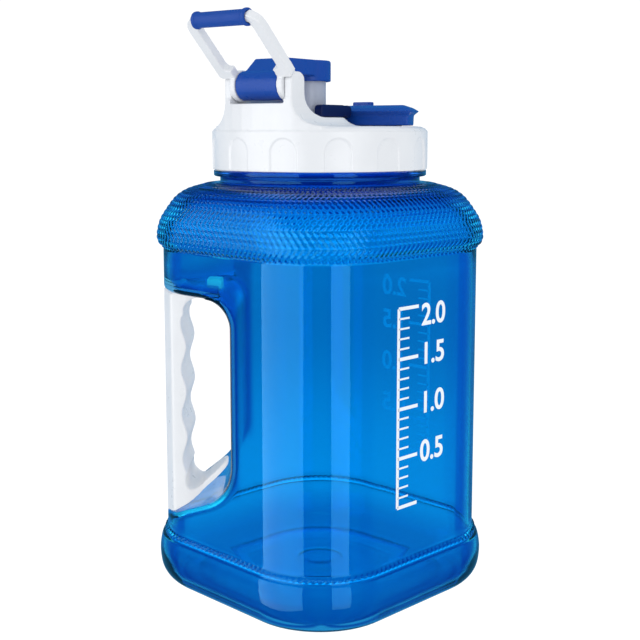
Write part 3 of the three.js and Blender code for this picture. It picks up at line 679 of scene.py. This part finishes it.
def studio():
    """Soft light all round on a white background. What is mirrored is a dim blue, but for the panels."""
    world = bpy.data.worlds.new("studio")
    world.use_nodes = True
    world.cycles.sampling_method = "NONE"
    tree = world.node_tree
    view = parts_of(tree, "Generated")
    low = mixed(tree, ramp(tree, view["Z"], *TO_BEHIND), BELOW, BEHIND)
    level = mixed(tree, ramp(tree, view["Z"], *TO_HORIZON), low, HORIZON)
    turn = worked_out(tree, "ARCTAN2", view["Y"], view["X"])
    wave = worked_out(tree, "COSINE", worked_out(tree, "MULTIPLY", turn, BRIGHT_SIDES))
    sides = mixed(tree, ramp(tree, wave, PANEL_EDGE, -PANEL_EDGE), level, BETWEEN)
    through = mixed(tree, ramp(tree, view["Z"], *TO_OVERHEAD), sides, OVERHEAD)
    path = tree.nodes.new("ShaderNodeLightPath")
    seen = mixed(tree, path.outputs["Is Camera Ray"], through, BACKGROUND)
    glossy, through_count = path.outputs["Glossy Depth"], path.outputs["Transmission Depth"]
    mirrored = worked_out(tree, "SUBTRACT", glossy, through_count)
    clear = mixed(tree, mirrored, seen, REFLECTED)
    color = mixed(tree, path.outputs["Diffuse Depth"], clear, AMBIENT)
    tree.links.new(color, tree.nodes["Background"].inputs["Color"])
    bpy.context.scene.world = world


def stage():
    floor()
    studio()
    left = softbox("left_panel", (-0.491, -0.379, 0.2), (0, 0, 0.2), (0.74, 1.1), 2.4)
    right = softbox("right_panel", (0.335, -0.671, 0.2), (0, 0, 0.2), (0.33, 1.1), 2.4)
    key = softbox("key", (-1.1, -0.9, 1.2), (0, 0, 0.12), (0.8, 0.8), 0.9)
    left.visible_diffuse = right.visible_diffuse = False  # these two only make the bright bands
    key.visible_glossy = False
    bpy.context.scene.view_settings.view_transform = "Standard"


camera()
stage()

WHITE = moulded_plastic("white_plastic", (0.76, 0.78, 0.81), 0.34, 0.12)
BLUE = moulded_plastic("blue_plastic", (0.006, 0.062, 0.36), 0.3, 0.1, 0.2)
GRIP = moulded_plastic("blue_grip", (0.008, 0.06, 0.33), 0.45, 0.3, 0.15)
# A darker copy of the blue plastic: painted shade, for the pour lid's yoke
SHADED_BLUE = moulded_plastic("shaded_blue_plastic", (0.003, 0.012, 0.08), 0.35, 0.1, 0.2)
# A darker, bluish copy of the white plastic: painted shade under the flip lid and a painted blue reflection,
# for the spout
SHADED_WHITE = moulded_plastic("shaded_white_plastic", (0.42, 0.46, 0.56), 0.4, 0.1)
SILICONE = moulded_plastic("silicone", (0.7, 0.72, 0.75), 0.6, 0.1)
PRINT = moulded_plastic("white_print", (0.86, 0.9, 0.95), 0.5, 0.15)
CLEAR = clear_blue()

clear_wall = finish_piece(bottle(), CLEAR, "jug", "clear_blue", "bottle")
clear_wall.visible_diffuse = False  # light passes it on the way to the handle and the floor
clear_wall.visible_shadow = False

# Name, node, voxel size in millimetres, softening passes, material, body, slot.
for name, node, voxel, passes, material, body, slot in (
        ("corner_handle", "handle", 0.6, 6, WHITE, "jug", "white_plastic"),
        ("screw_cap", "cap_shell", 0.4, 5, WHITE, "cap", "white_plastic"),
        # The spout gets the darker, bluish copy of the white plastic: painted shade and a painted blue
        # reflection
        ("drinking_spout", "spout", 0.35, 4, SHADED_WHITE, "cap", "white_plastic"),
        ("flip_lid", "flip_cap", 0.35, 5, BLUE, "flip", "blue_plastic"),
        ("carry_bail", "bail", 0.35, 6, WHITE, "carry_loop", "white_plastic"),
        ("bail_sleeve", "bail_grip", 0.25, 4, GRIP, "carry_loop", "blue_grip"),
        ("pour_cover", "pour_lid", 0.4, 4, BLUE, "lid", "blue_plastic"),
        # The yoke gets the darker copy of the blue plastic: painted shade
        ("pour_yoke", "pour_lid_bracket", 0.3, 4, SHADED_BLUE, "cap", "blue_plastic")):
    shape = shape_cap if node == "cap_shell" else None
    finish_piece(refined(name, node, voxel, passes, shape), material, body, slot, node)
for node in ("cap_gasket", "flip_cap_seal", "pour_lid_seal"):
    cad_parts[node].data.materials[0] = SILICONE
steel, steel_tree, steel_shader = new_material("pin_steel", (0.6, 0.61, 0.63), 0.3, Metallic=1.0)
brushing = remap(steel_tree, noise(steel_tree, 900), 0.22, 0.38)
steel_tree.links.new(brushing, steel_shader.inputs["Roughness"])
for node in ("hinge_pin", "pour_lid_pin"):
    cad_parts[node].data.materials[0] = steel
finish_piece(print_piece("scale_front", math.radians(-45)), PRINT, "jug", "white_plastic")
finish_piece(print_piece("scale_back", math.radians(45)), PRINT, "jug", "white_plastic")
